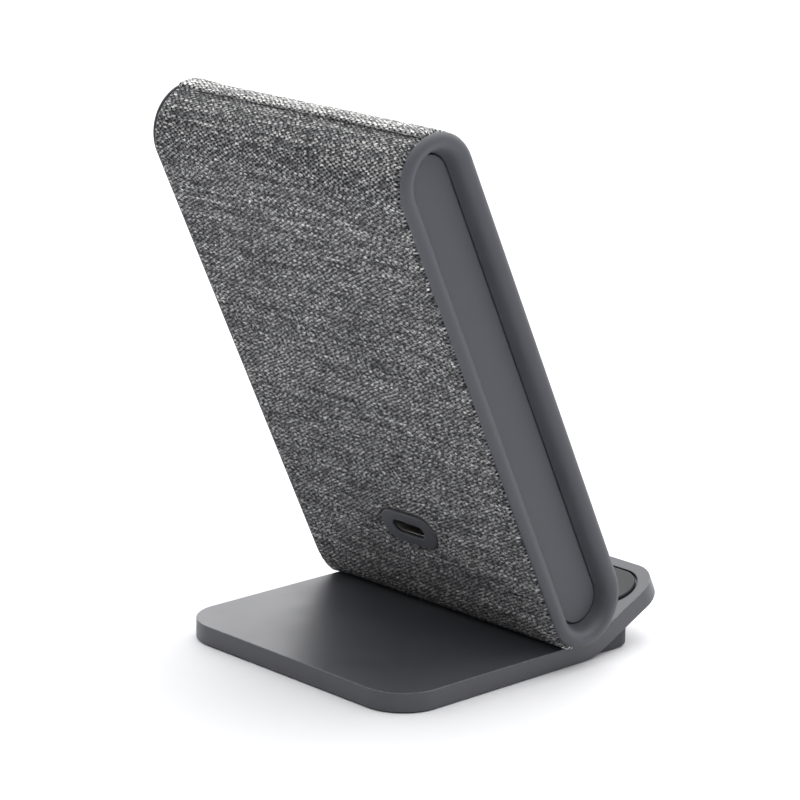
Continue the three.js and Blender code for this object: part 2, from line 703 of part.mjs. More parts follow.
for (const [name, width, thickness, height, x, z, material] of boardParts) {
  const from = BOARD.back + GAP;
  const low = [x - width / 2, from, z - height / 2];
  const high = [x + width / 2, from + thickness, z + height / 2];
  add(upright, name, block(low, high), material);
}

[-BOARD_POSTS.x, BOARD_POSTS.x].forEach((x, i) => {
  const { head, headHeight, shaft, length } = SMALL_SCREW;
  const headFront = BOARD.front - GAP - headHeight;
  const throughBoard = BOARD.back - BOARD.front;
  const body = screw(head, headHeight, shaft, length + throughBoard).rotateX(-Math.PI / 2);
  add(upright, `board_screw_${i + 1}`, body, bareSteel).position.set(x, headFront, BOARD_POSTS.height);
});

// The status lamp is on the board's front, with a clear pipe to the fabric's face.
function statusLed() {
  const { width, thickness, height } = STATUS_LED;
  const low = [-width / 2, LED_FRONT, LIGHT_PIPE.height - height / 2];
  const high = [width / 2, LED_FRONT + thickness, LIGHT_PIPE.height + height / 2];
  return block(low, high);
}

function lightPipe() {
  return barAlongY(LIGHT_PIPE.radius, -FABRIC_RADIUS, LIGHT_PIPE.back, 0, LIGHT_PIPE.height);
}

add(upright, 'status_led', statusLed(), clearPlastic);
add(upright, 'light_pipe', lightPipe(), clearPlastic);

// ---------------------------------------------------------------- coils, shields and their carrier

function coil() {
  const { inner, outer, thickness } = COIL;
  const profile = [[inner, 0], [outer, 0], [outer, thickness], [inner, thickness], [inner, 0]];
  return new THREE.LatheGeometry(profile.map(([r, h]) => new THREE.Vector2(r, h)), 40);
}

for (const [place, z] of Object.entries(COIL_HEIGHTS)) {
  add(upright, `coil_${place}`, coil(), copper).position.set(0, COIL_FRONT, z);
  const outline = roundedRectangle(FERRITE.width, FERRITE.length, FERRITE.corner);
  const sheet = alongY(outline, FERRITE_FRONT, FERRITE_BACK, 4).translate(0, 0, z);
  add(upright, `ferrite_${place}`, sheet, ferrite);
}

function coilCarrier() {
  const { width, bottom, top, front, back } = CARRIER;
  const plate = block([-width / 2, front, bottom], [width / 2, back, top]);
  const pipeHole = barAlongY(LIGHT_PIPE.radius + GAP, -10, 5, 0, LIGHT_PIPE.height);
  return cut(plate, [pipeHole, ...carrierPosts(SMALL_SCREW.shaft + GAP, -10, 5)]);
}

add(upright, 'coil_carrier', coilCarrier(), shellPlastic);

screwNumber = 0;
for (const z of [CARRIER_POSTS.bottom, CARRIER_POSTS.top]) {
  for (const x of [-CARRIER_POSTS.x, CARRIER_POSTS.x]) {
    screwNumber += 1;
    const { head, headHeight, shaft, length } = SMALL_SCREW;
    const top = CARRIER.back + GAP + headHeight;
    const body = screw(head, headHeight, shaft, length).rotateX(Math.PI / 2);
    add(upright, `carrier_screw_${screwNumber}`, body, bareSteel).position.set(x, top, z);
  }
}

function heatSpreader() {
  const { width, bottom, top, front, back } = SPREADER;
  return block([-width / 2, front, bottom], [width / 2, back, top]);
}

function thermalPad() {
  const { left, right, bottom, top, front, back } = THERMAL_PAD;
  return block([left, front, bottom], [right, back, top]);
}

add(upright, 'heat_spreader', heatSpreader(), aluminium);
add(upright, 'thermal_pad', thermalPad(), thermalGel);

// Each coil has two leads that run round the edge of the carrier to the back of the board.
function coilLead(side, coilZ, boardZ, lane = 0) {
  const laneX = LEAD_X + lane * LEAD_PITCH;
  const coilY = COIL_FRONT + COIL.thickness / 2;
  const boardY = BOARD.back + GAP + LEAD_RADIUS;
  const route = [
    [COIL.outer + GAP + 0.1, coilY, coilZ],
    [laneX - 1, coilY, coilZ],
    [laneX, coilY + 1, coilZ + Math.sign(boardZ - coilZ)],
    [laneX, boardY - 1, boardZ],
    [laneX - 1, boardY, boardZ],
    [BOARD.width / 2 - 2.5, boardY, boardZ],
  ];
  const curve = new THREE.CatmullRomCurve3(
    route.map(([x, y, z]) => new THREE.Vector3(side * x, y, z)),
    false,
    'centripetal',
  );
  const section = new THREE.Shape();
  section.absarc(0, 0, LEAD_RADIUS, 0, 2 * Math.PI, false);
  return new THREE.ExtrudeGeometry(section, { steps: 16, extrudePath: curve, curveSegments: 4 });
}

add(upright, 'coil_lead_lower_1', coilLead(1, 24, 22), copper);
add(upright, 'coil_lead_lower_2', coilLead(1, 28, 26), copper);
add(upright, 'coil_lead_upper_1', coilLead(-1, 66, 32), copper);
add(upright, 'coil_lead_upper_2', coilLead(-1, 70, 36, 1), copper);

export default object;
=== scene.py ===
"""Looks of the wireless charging stand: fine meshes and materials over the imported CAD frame."""

import json
import math

import bmesh
import bpy
import numpy as np
from mathutils import Matrix, Vector, noise


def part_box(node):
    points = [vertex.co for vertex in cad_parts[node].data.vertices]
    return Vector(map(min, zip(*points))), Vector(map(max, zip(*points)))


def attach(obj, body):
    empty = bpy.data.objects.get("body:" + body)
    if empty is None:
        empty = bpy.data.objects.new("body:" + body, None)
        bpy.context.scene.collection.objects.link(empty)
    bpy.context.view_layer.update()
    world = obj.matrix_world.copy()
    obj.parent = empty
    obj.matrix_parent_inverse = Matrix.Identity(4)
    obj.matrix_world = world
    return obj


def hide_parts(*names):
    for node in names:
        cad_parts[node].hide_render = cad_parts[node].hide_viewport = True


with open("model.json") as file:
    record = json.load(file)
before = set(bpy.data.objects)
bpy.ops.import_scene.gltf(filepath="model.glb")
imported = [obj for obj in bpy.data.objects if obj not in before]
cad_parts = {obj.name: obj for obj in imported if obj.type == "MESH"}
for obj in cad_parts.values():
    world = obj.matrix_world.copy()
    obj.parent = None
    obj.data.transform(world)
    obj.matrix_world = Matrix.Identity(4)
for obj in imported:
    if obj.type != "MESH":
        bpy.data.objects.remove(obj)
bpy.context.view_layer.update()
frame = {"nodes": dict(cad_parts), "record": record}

MM = 0.001

# ---------------------------------------------------------------- sizes shared with the CAD model, mm

FABRIC_RADIUS = 9.6
FABRIC_END = 35.3
SHELL_RADIUS = 8.4
RIM_RADIUS = 9.8
RIM_BEAD = 1.85
RIM_CREST = 36.8
PANEL_FACE = 33.4
PANEL_RADIUS = 5.05
PANEL_THICKNESS = 1.2
POCKET_GAP = 0.3
PLATE_REAR = 54.3
PLATE_WIDTH = 67
PLATE_THICKNESS = 4
REAR_CORNER = 9.5
LEDGE_LENGTH = 23.2
LEDGE_CORNER = 6.7
BEND_RADIUS = 9
GROOVE_LENGTH = 62.4
GROOVE_WIDTH = 11
GROOVE_CENTRE = 15.4
RUBBER_CORNER = 6
PORT_HEIGHT = 15.75
BEZEL_WIDTH = 15.8
BEZEL_HEIGHT = 8.2
PORT_WIDTH = 9.1
PORT_OPENING = 3.34
PIPE_HEIGHT = 3
PIPE_HOLE = 1.1


def lowest(node):
    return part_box(node)[0]


def highest(node):
    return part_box(node)[1]


# The upright's frame comes from the side panel, a racetrack about the two round ends.
panel_low, panel_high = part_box("side_panel_left")
BOTTOM = Vector((0, panel_low[1] / MM + PANEL_RADIUS, panel_low[2] / MM + PANEL_RADIUS))
TOP = Vector((0, panel_high[1] / MM - PANEL_RADIUS, panel_high[2] / MM - PANEL_RADIUS))
LENGTH = (TOP - BOTTOM).length
LEAN = math.atan2(TOP.y - BOTTOM.y, TOP.z - BOTTOM.z)
UP = Vector((0, math.sin(LEAN), math.cos(LEAN)))
OUT = Vector((0, math.cos(LEAN), -math.sin(LEAN)))
PLATE_TOP = BOTTOM.z - FABRIC_RADIUS - 0.3
BEND_Y = highest("base_plate")[1] / MM - PLATE_REAR


def in_upright(x, out, up):
    """A point of the upright's own frame, in metres of the whole frame."""
    return (Vector((x, 0, 0)) + BOTTOM + OUT * out + UP * up) * MM


def smoothstep(low, high, value):
    t = np.clip((np.asarray(value, dtype=float) - low) / (high - low), 0, 1)
    return t * t * (3 - 2 * t)


# ---------------------------------------------------------------- node materials


class Nodes:
    """A node tree under construction."""

    def __init__(self, tree):
        self.tree = tree

    def node(self, kind, **settings):
        made = self.tree.nodes.new(kind)
        for key, value in settings.items():
            setattr(made, key, value)
        return made

    def link(self, source, target):
        self.tree.links.new(source, target)

    def feed(self, socket, value):
        if isinstance(value, bpy.types.NodeSocket):
            self.link(value, socket)
        else:
            socket.default_value = value

    def math(self, operation, a, b=0.0, c=0.0, clamp=False):
        made = self.node("ShaderNodeMath", operation=operation, use_clamp=clamp)
        for socket, value in zip(made.inputs, (a, b, c)):
            self.feed(socket, value)
        return made.outputs[0]

    def coordinates(self, scale=(1, 1, 1)):
        source = self.node("ShaderNodeTexCoord").outputs["Object"]
        mapping = self.node("ShaderNodeMapping")
        self.link(source, mapping.inputs["Vector"])
        mapping.inputs["Scale"].default_value = scale
        return mapping.outputs[0]

    def combine(self, x, y, z=0.0):
        made = self.node("ShaderNodeCombineXYZ")
        for socket, value in zip(made.inputs, (x, y, z)):
            self.feed(socket, value)
        return made.outputs[0]

    def noise(self, vector, scale, detail=2.0, roughness=0.5):
        made = self.node("ShaderNodeTexNoise", noise_dimensions="3D")
        self.link(vector, made.inputs["Vector"])
        made.inputs["Scale"].default_value = scale
        made.inputs["Detail"].default_value = detail
        made.inputs["Roughness"].default_value = roughness
        return made.outputs[0]

    def ramp(self, value, low, high, to_low=0.0, to_high=1.0, kind="SMOOTHSTEP"):
        made = self.node("ShaderNodeMapRange", interpolation_type=kind)
        for name, number in (
            ("From Min", low),
            ("From Max", high),
            ("To Min", to_low),
            ("To Max", to_high),
        ):
            made.inputs[name].default_value = number
        self.feed(made.inputs["Value"], value)
        return made.outputs[0]

    def mix(self, factor, a, b):
        made = self.node("ShaderNodeMix", data_type="RGBA")
        self.feed(made.inputs[0], factor)
        for socket, value in ((made.inputs[6], a), (made.inputs[7], b)):
            self.feed(socket, (*value, 1) if isinstance(value, tuple) else value)
        return made.outputs[2]


class Shader(Nodes):
    """A node material under construction."""

    def __init__(self, name):
        self.material = bpy.data.materials.new(name)
        self.material.use_nodes = True
        super().__init__(self.material.node_tree)
        self.tree.nodes.clear()
        output = self.node("ShaderNodeOutputMaterial")
        self.surface = self.node("ShaderNodeBsdfPrincipled")
        self.link(self.surface.outputs[0], output.inputs["Surface"])

    def set(self, **values):
        """Constants of the shader itself, by socket name with _ for a space."""
        for key, value in values.items():
            self.surface.inputs[key.replace("_", " ")].default_value = value

    def colour(self, value):
        self.feed(self.surface.inputs["Base Color"], value)

    def roughness(self, value):
        self.feed(self.surface.inputs["Roughness"], value)

    def bump(self, height, distance):
        made = self.node("ShaderNodeBump")
        made.inputs["Distance"].default_value = distance
        made.inputs["Strength"].default_value = 1.0
        self.link(height, made.inputs["Height"])
        self.link(made.outputs[0], self.surface.inputs["Normal"])


def grained(name, dark, light, rough, grain_mm, depth_mm):
    """A moulded or painted surface: slight blotches of tone and gloss, and a fine grain."""
    shader = Shader(name)
    place = shader.coordinates()
    blotch = shader.noise(place, 90, 3)
    speck = shader.noise(place, 1 / (grain_mm * MM), 2)
    tone = shader.math("MULTIPLY_ADD", speck, 0.35, shader.math("MULTIPLY", blotch, 0.65))
    shader.colour(shader.mix(shader.ramp(tone, 0.3, 0.7), dark, light))
    shader.roughness(shader.ramp(blotch, 0.25, 0.75, *rough))
    shader.set(Metallic=0.0, Specular_IOR_Level=0.5)
    shader.bump(speck, depth_mm * MM)
    return shader


WARP_PITCH = 0.74  # mm along X, one warp yarn
WEFT_PITCH = 0.43  # mm along the upright, one weft yarn
YARN_SWING = 0.5  # how far each yarn rises and dips, against its own thickness
ROW_SLIP = 0.6  # in warp yarns, how far each weft yarn is out of step
DRIFT = 0.6  # the same, changing along the yarn
JOSTLE = 1.5  # in yarns, how far they are pushed out of line
FRAY = 0.7  # raggedness of the yarns' edges
TWIST = 0.22  # slant of the weft yarns where they show
WEFT_SIZE = (0.50, 0.80)  # half width and thickness of a yarn, in yarns
WARP_SIZE = (0.45, 0.66)
WARP_DARKER = 0.2  # tone of the warp yarns, against the weft
LAP_PAINTED_HIGHLIGHT = 0.46  # painted highlight: the cloth is made paler where it folds over the top, for the light from above
ROW_APART = 5.3  # noise units between neighbouring weft yarns, so that each has its own streaks
TONE_RANGE = (1.56, 3.14)  # sum of the colour patterns at the darkest yarn and the palest
YARN_GREYS = (
    (0.0, (0.024, 0.025, 0.027, 1)),
    (0.3, (0.13, 0.132, 0.137, 1)),
    (0.6, (0.36, 0.36, 0.358, 1)),
    (1.0, (0.92, 0.92, 0.90, 1)),
)
# painted shade: the near black colour laid in the gaps between the yarns
SHADE_BETWEEN_YARNS = (0.010, 0.010, 0.012)


def jostled(shader, coordinates, axis):
    """One weave coordinate, with every yarn pushed a little aside here and there."""
    place = shader.combine(coordinates[0], coordinates[1], 17.0 * (axis + 1))
    push = shader.math("SUBTRACT", shader.noise(place, 0.55, 1), 0.5)
    return shader.math("MULTIPLY_ADD", push, JOSTLE, coordinates[axis])


def weave_cells(shader):
    """Weave coordinates from the UVs, which count warp yarns across and weft yarns along."""
    split = shader.node("ShaderNodeSeparateXYZ")
    shader.link(shader.node("ShaderNodeUVMap", uv_map="weave").outputs[0], split.inputs[0])
    across, along = (jostled(shader, split.outputs, axis) for axis in (0, 1))
    column, row = shader.math("FLOOR", across), shader.math("FLOOR", along)
    in_column = shader.math("SUBTRACT", shader.math("SUBTRACT", across, column), 0.5)
    in_row = shader.math("SUBTRACT", shader.math("SUBTRACT", along, row), 0.5)
    return across, along, column, row, in_column, in_row


def yarn_top(shader, phase, offset, half_width, thickness):
    """Height of one set of yarns: each rises and dips in turn, and is round across."""
    wave = shader.math("COSINE", shader.math("MULTIPLY", phase, math.pi))
    swing = shader.math("MULTIPLY", wave, YARN_SWING)
    aside = shader.math("ABSOLUTE", shader.math("DIVIDE", offset, half_width))
    square = shader.math("POWER", aside, 2.0)
    bulge = shader.math("SQRT", shader.math("SUBTRACT", 1.0, square, clamp=True))
    return shader.math("MULTIPLY_ADD", bulge, thickness, swing)


def cell_noise(shader, x, y, seed):
    """One random value for each yarn crossing or yarn."""
    made = shader.node("ShaderNodeTexWhiteNoise", noise_dimensions="3D")
    shader.link(shader.combine(x, y, seed), made.inputs["Vector"])
    return made.outputs[0]


def streaks(shader, across, along, stretch, scale, detail=2, rough=0.5):
    """Noise drawn out along X, as slubs and colour changes are along a yarn."""
    place = shader.combine(shader.math("MULTIPLY", across, stretch), along)
    return shader.noise(place, scale, detail, rough)


def weighted(shader, *terms):
    """Sum of (value, weight) pairs."""
    total = 0.0
    for value, weight in terms:
        total = shader.math("MULTIPLY_ADD", value, weight, total)
    return total


def woven_relief(shader, cells, own_row):
    """The yarns' height, where the weft lies on top, and which weft float it is."""
    across, along, column, row, in_column, in_row = cells
    slip = shader.math("MULTIPLY", cell_noise(shader, row, 0.0, 3.0), ROW_SLIP)
    drift = shader.math("MULTIPLY", streaks(shader, across, own_row, 0.22, 1.0, 1), DRIFT)
    shifted_across = shader.math("ADD", across, shader.math("ADD", slip, drift))
    weft_phase = shader.math("SUBTRACT", shader.math("ADD", shifted_across, row), 0.5)
    warp_phase = shader.math("ADD", shader.math("ADD", along, column), 0.5)
    fine = (shader.math("MULTIPLY", value, 2.2) for value in (across, along))
    frayed = shader.math("MULTIPLY_ADD", streaks(shader, *fine, 1.0, 1.0), FRAY, -0.5 * FRAY)
    twisted = shader.math("ADD", shader.math("MULTIPLY_ADD", in_column, TWIST, in_row), frayed)
    weft = yarn_top(shader, weft_phase, twisted, *WEFT_SIZE)
    warp = yarn_top(shader, warp_phase, in_column, *WARP_SIZE)
    lead = shader.math("ADD", shader.math("SUBTRACT", weft, warp), frayed)
    on_top = shader.ramp(lead, -0.10, 0.10)
    weft_float = shader.math("FLOOR", shader.math("MULTIPLY_ADD", weft_phase, 0.5, 0.5))
    return shader.math("MAXIMUM", weft, warp), on_top, weft_float


def heather_tone(shader, cells, own_row, on_top, weft_float, fibre):
    """Tone of the yarn on top: streaks along X in all yarns, and flecks of each set's own."""
    across, along, column, row = cells[:4]
    # painted highlight: the lap attribute makes the cloth over the top paler, for the light from above
    lap = shader.node("ShaderNodeAttribute", attribute_name="lap").outputs["Fac"]
    dash = cell_noise(shader, weft_float, row, 1.0)
    fleck = cell_noise(shader, column, row, 7.0)
    slub = streaks(shader, across, own_row, 0.05, 1.0)
    own_column = shader.math("MULTIPLY", column, 3.7)
    ladder = shader.noise(shader.combine(own_column, shader.math("MULTIPLY", along, 0.03)), 1.0, 1)
    band = streaks(shader, across, along, 0.22, 0.22)
    melange = streaks(shader, across, along, 0.25, 0.9, 2, 0.7)
    patterns = ((slub, 1.20), (band, 0.45), (melange, 0.35), (fibre, 1.20), (lap, LAP_PAINTED_HIGHLIGHT))
    weft_tone = weighted(shader, (dash, 0.90), (slub, 0.50))
    warp_tone = weighted(shader, (fleck, 0.80), (ladder, 0.50), (1.0, -WARP_DARKER))
    chosen = shader.node("ShaderNodeMix", data_type="FLOAT")
    for socket, value in zip(chosen.inputs[:1] + chosen.inputs[2:4], (on_top, warp_tone, weft_tone)):
        shader.feed(socket, value)
    return shader.math("ADD", weighted(shader, *patterns), chosen.outputs[0])


def heather_fabric():
    """Plain weave of grey melange yarns both ways, with slubs and colour changes along X."""
    shader = Shader("heather_fabric")
    cells = weave_cells(shader)
    across, along, _, row = cells[:4]
    own_row = shader.math("MULTIPLY", row, ROW_APART)
    height, on_top, weft_float = woven_relief(shader, cells, own_row)
    fine_across = shader.math("MULTIPLY", across, 2.6)
    fine_along = shader.math("MULTIPLY", along, 2.2)
    fibre = streaks(shader, fine_across, fine_along, 1.0, 1.0)
    tone = heather_tone(shader, cells, own_row, on_top, weft_float, fibre)
    ramp = shader.node("ShaderNodeValToRGB")
    shader.link(shader.ramp(tone, *TONE_RANGE, kind="LINEAR"), ramp.inputs[0])
    steps = ramp.color_ramp.elements
    steps[0].color = YARN_GREYS[0][1]
    steps[1].color = YARN_GREYS[-1][1]
    for position, grey in YARN_GREYS[1:-1]:
        steps.new(position).color = grey
    # painted shade: the low parts between the yarns are darkened by their height
    depth = shader.ramp(height, 0.30, 1.02)
    shader.colour(shader.mix(depth, SHADE_BETWEEN_YARNS, ramp.outputs[0]))
    shader.roughness(shader.ramp(fibre, 0.2, 0.8, 0.80, 0.95))
    shader.set(Specular_IOR_Level=0.2, Sheen_Weight=0.10, Sheen_Roughness=0.4)
    shader.bump(shader.math("MULTIPLY_ADD", fibre, 0.3, height), 0.16 * MM)
    return shader


def brushed_metal(name, tone, rough, stretch=(40, 1, 1)):
    """Bare metal with fine lines; stretch is how much finer they are along each axis."""
    shader = Shader(name)
    lines = shader.noise(shader.coordinates(scale=stretch), 900, 2)
    blotch = shader.noise(shader.coordinates(), 120, 2)
    dark = tuple(0.8 * part for part in tone)
    shader.colour(shader.mix(shader.ramp(lines, 0.3, 0.7), dark, tone))
    shader.roughness(shader.ramp(blotch, 0.3, 0.7, *rough))
    shader.set(Metallic=1.0)
    shader.bump(lines, 0.004 * MM)
    return shader


def satin_metal():
    """Charcoal paint on the bent plate, paler along its top edges: rubbed paint and a painted highlight.
    """
    shader = Shader("satin_metal")
    place = shader.coordinates()
    blotch = shader.noise(place, 60, 3)
    speck = shader.noise(place, 7000, 1)
    tone = shader.ramp(blotch, 0.3, 0.7)
    paint = shader.mix(tone, (0.046, 0.0475, 0.057), (0.052, 0.0535, 0.063))
    # pale line on the top edges: rubbed paint together with a painted highlight of the edge
    worn_and_lit_edge = shader.node("ShaderNodeAttribute", attribute_name="worn_and_lit_edge").outputs["Fac"]
    rub = shader.noise(place, 700, 4, 0.65)
    pale_edge = shader.math("MULTIPLY", worn_and_lit_edge, shader.ramp(rub, 0.38, 0.68, 0.05, 0.8))
    shader.colour(shader.mix(pale_edge, paint, (0.15, 0.152, 0.156)))
    shader.roughness(shader.ramp(blotch, 0.3, 0.7, 0.38, 0.44))
    shader.set(Metallic=0.0, Specular_IOR_Level=0.7)
    shader.bump(speck, 0.004 * MM)
    return shader


def coil_copper():
    """Enamelled strands lying side by side."""
    shader = Shader("copper_wire")
    place = shader.coordinates()
    strand = shader.noise(place, 2500, 2)
    tone = shader.ramp(strand, 0.35, 0.65)
    shader.colour(shader.mix(tone, (0.28, 0.09, 0.035), (0.62, 0.27, 0.12)))
    shader.roughness(shader.ramp(strand, 0.3, 0.7, 0.25, 0.45))
    shader.set(Metallic=1.0)
    shader.bump(strand, 0.05 * MM)
    return shader


def board_green():
    """Solder mask over a network of tracks."""
    shader = Shader("board_green")
    place = shader.coordinates()
    tracks = shader.node("ShaderNodeTexVoronoi", distance="CHEBYCHEV", feature="F1")
    shader.link(place, tracks.inputs["Vector"])
    tracks.inputs["Scale"].default_value = 300
    line = shader.ramp(tracks.outputs["Distance"], 0.30, 0.34)
    shader.colour(shader.mix(line, (0.012, 0.085, 0.034), (0.02, 0.14, 0.055)))
    shader.roughness(shader.ramp(shader.noise(place, 200), 0.3, 0.7, 0.3, 0.45))
    shader.bump(line, 0.03 * MM)
    return shader


GRAINED = {  # darker and paler tone, range of roughness, grain's size and depth in mm
    "soft_grey": ((0.0605, 0.0625, 0.074), (0.0685, 0.0705, 0.083), (0.50, 0.58), 0.22, 0.012),
    "grip_silicone": ((0.026, 0.0275, 0.0285), (0.031, 0.0325, 0.0335), (0.58, 0.68), 0.3, 0.015),
    "dark_rubber": ((0.044, 0.045, 0.050), (0.054, 0.055, 0.061), (0.7, 0.85), 0.3, 0.02),
    "shell_plastic": ((0.011, 0.011, 0.012), (0.016, 0.016, 0.018), (0.5, 0.6), 0.4, 0.02),
    "bezel_plastic": ((0.055, 0.057, 0.066), (0.062, 0.064, 0.074), (0.46, 0.54), 0.2, 0.008),
    "black_plastic": ((0.006, 0.006, 0.007), (0.010, 0.010, 0.011), (0.4, 0.5), 0.3, 0.01),
    "ferrite_grey": ((0.018, 0.018, 0.020), (0.032, 0.032, 0.034), (0.7, 0.85), 0.15, 0.02),
    "capacitor_tan": ((0.36, 0.25, 0.14), (0.46, 0.33, 0.19), (0.4, 0.5), 0.2, 0.01),
    "thermal_gel": ((0.26, 0.31, 0.37), (0.34, 0.40, 0.46), (0.8, 0.9), 0.5, 0.05),
    "clear_plastic": ((0.24, 0.25, 0.25), (0.32, 0.33, 0.33), (0.25, 0.35), 0.5, 0.005),
}
ALUMINIUM_LINES = (1, 30, 30)
MATERIALS = {name: grained(name, *look) for name, look in GRAINED.items()}
MATERIALS |= {
    "heather_fabric": heather_fabric(),
    "satin_metal": satin_metal(),
    "bare_steel": brushed_metal("bare_steel", (0.82, 0.80, 0.74), (0.25, 0.35)),
    "spreader_aluminium": brushed_metal(
        "spreader_aluminium", (0.74, 0.75, 0.76), (0.35, 0.45), ALUMINIUM_LINES
    ),
    "copper_wire": coil_copper(),
    "board_green": board_green(),
}


def paint(obj, slot):
    obj.data.materials.clear()
    obj.data.materials.append(MATERIALS[slot].material)


def carry_over():
    """Every CAD node takes the material of its record slot."""
    for part in frame["record"]["subparts"]:
        node = frame["nodes"][part["node"]]
        paint(node, part["material_slot"])
        for polygon in node.data.polygons:
            polygon.use_smooth = False


# ---------------------------------------------------------------- mesh helpers


def new_object(name, mesh, slot, replaced):
    obj = bpy.data.objects.new(name, mesh)
    bpy.context.scene.collection.objects.link(obj)
    paint(obj, slot)
    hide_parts(*replaced)
    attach(obj, "root")
    return obj


def mesh_from(name, vertices, faces, smooth=True):
    mesh = bpy.data.meshes.new(name)
    mesh.from_pydata([tuple(v) for v in vertices], [], faces)
    mesh.validate()
    mesh.update()
    for polygon in mesh.polygons:
        polygon.use_smooth = smooth
    return mesh


def grid_faces(rows, columns, closed_rows=False, closed_columns=False):
    faces = []
    for r in range(rows if closed_rows else rows - 1):
        for c in range(columns if closed_columns else columns - 1):
            beside = (c + 1) % columns
            row, below = r * columns, (r + 1) % rows * columns
            faces.append((row + c, below + c, below + beside, row + beside))
    return faces


def bake_modifiers(obj):
    """Applies the object's modifiers to its mesh."""
    graph = bpy.context.evaluated_depsgraph_get()
    mesh = bpy.data.meshes.new_from_object(obj.evaluated_get(graph))
    obj.modifiers.clear()
    obj.data = mesh


def softened(name, node, slot, width_mm, segments=3, angle=35):
    """The CAD node's shape with its sharp edges rounded, as a piece of its own."""
    mesh = frame["nodes"][node].data.copy()
    work = bmesh.new()
    work.from_mesh(mesh)
    bmesh.ops.remove_doubles(work, verts=work.verts, dist=1e-7)
    bmesh.ops.dissolve_limit(work, angle_limit=math.radians(1), verts=work.verts, edges=work.edges)
    work.to_mesh(mesh)
    work.free()
    obj = new_object(name, mesh, slot, [node])
    bevel = obj.modifiers.new("bevel", "BEVEL")
    bevel.width = width_mm * MM
    bevel.segments = segments
    bevel.limit_method = "ANGLE"
    bevel.angle_limit = math.radians(angle)
    bevel.use_clamp_overlap = True
    bevel.harden_normals = False
    bake_modifiers(obj)
    polish(obj, 40)
    return obj


def polish(obj, degrees):
    """Smooth shading that keeps the large flat faces flat."""
    shade_by_angle(obj, degrees)
    modifier = obj.modifiers.new("weighted", "WEIGHTED_NORMAL")
    modifier.keep_sharp = True
    modifier.weight = 100
    bake_modifiers(obj)


def shade_by_angle(obj, degrees):
    """Smooth faces with sharp edges kept where they meet at more than the angle."""
    mesh = obj.data
    for polygon in mesh.polygons:
        polygon.use_smooth = True
    work = bmesh.new()
    work.from_mesh(mesh)
    for edge in work.edges:
        if len(edge.link_faces) == 2:
            edge.smooth = edge.calc_face_angle(0) < math.radians(degrees)
    work.to_mesh(mesh)
    work.free()


# ---------------------------------------------------------------- the fabric sleeve

SEAM_ANGLE = 98.0  # degrees round the top, from straight out of the back
LAP_END = 116.0  # where the under layer ends, the same way round
CLOTH = 0.75  # mm, thickness of one layer
STRIP_LIFT = 0.30  # mm, how far the top layer stands out at the seam
TUCK = 0.50  # mm, how far the under layer is drawn in there
SECTION_STEP = 0.46  # mm between points of the sleeve's section
SLEEVE_COLUMNS = 160
EDGE_TURN = ((0.85, 0.04), (0.50, 0.22), (0.20, 0.62), (0.0, 1.25))  # mm from the edge, mm turned in
YARN_RELIEF = 0.20  # mm, unevenness of the cloth
FULL_EDGE = 0.35  # mm, how much fuller the cloth stands at the end where it was drawn on last
PORT_BAND = (5, 40)  # heights between which the back's cloth opens round the port
PIPE_BAND = (-4, 12)  # the same for the light pipe in front
HOLE_GAP = 0.3
SLOT_HALF = (20.4, 3.0)  # half width and depth of the slot round the saddle
SLOT_HEIGHT = 2.5


def lap_radius(angle):
    """Under layer of the back, from the seam to where the straight back begins."""
    return FABRIC_RADIUS - TUCK * smoothstep(0, SEAM_ANGLE, angle)


def strip_radius(angle):
    """Top layer that comes over from the front and laps over the back one."""
    return FABRIC_RADIUS + STRIP_LIFT * smoothstep(150, SEAM_ANGLE, angle)


def bottom_radius(angle):
    """The cloth stands fuller round the lower back, where it is pulled in under the upright."""
    return FABRIC_RADIUS + 0.75 * np.exp(-(((angle + 48) / 27) ** 2))


def arc_points(centre_up, start, stop, radius_at):
    """Points of a round stretch of the section, as (out, up), between two angles in degrees."""
    count = max(3, int(abs(math.radians(stop - start)) * FABRIC_RADIUS / SECTION_STEP))
    angles = np.linspace(start, stop, count)
    radii = radius_at(angles)
    turn = np.radians(angles)
    return np.stack([radii * np.cos(turn), centre_up + radii * np.sin(turn)], axis=1)


def straight_points(out, start, stop):
    ups = np.linspace(start, stop, int(abs(stop - start) / SECTION_STEP))
    return np.stack([np.full_like(ups, out), ups], axis=1)


def hem_points():
    """The turned edge at the seam, from the strip's face down onto the back layer."""
    angles = SEAM_ANGLE - np.array([0.6, 1.4, 2.1, 2.5, 2.4, 1.7])
    drops = np.array([0.0, 0.05, 0.16, 0.36, 0.56, CLOTH])
    radii = FABRIC_RADIUS + STRIP_LIFT - drops
    turn = np.radians(angles)
    return np.stack([radii * np.cos(turn), LENGTH + radii * np.sin(turn)], axis=1)


def sleeve_section():
    """Outer line of the sleeve from under the lap, down the back, up the front, over to the seam."""
    under_radius = FABRIC_RADIUS - TUCK - 0.05
    under = arc_points(LENGTH, LAP_END, SEAM_ANGLE, lambda angle: np.full_like(angle, under_radius))
    back_round = arc_points(LENGTH, SEAM_ANGLE, 0, lap_radius)
    back = straight_points(FABRIC_RADIUS, LENGTH, 0)
    bottom = arc_points(0, 0, -180, bottom_radius)
    front = straight_points(-FABRIC_RADIUS, 0, LENGTH)
    top = arc_points(LENGTH, 180, SEAM_ANGLE, strip_radius)
    parts = [under, back_round[1:], back[1:], bottom[1:], front[1:], top[1:], hem_points()]
    return np.concatenate(parts)


def section_normals(section):
    """Unit normals of the section, pointing away from the upright."""
    ahead = np.roll(section, -1, axis=0) - np.roll(section, 1, axis=0)
    ahead[0] = section[1] - section[0]
    ahead[-1] = section[-1] - section[-2]
    ahead /= np.linalg.norm(ahead, axis=1)[:, None]
    return np.stack([-ahead[:, 1], ahead[:, 0]], axis=1)


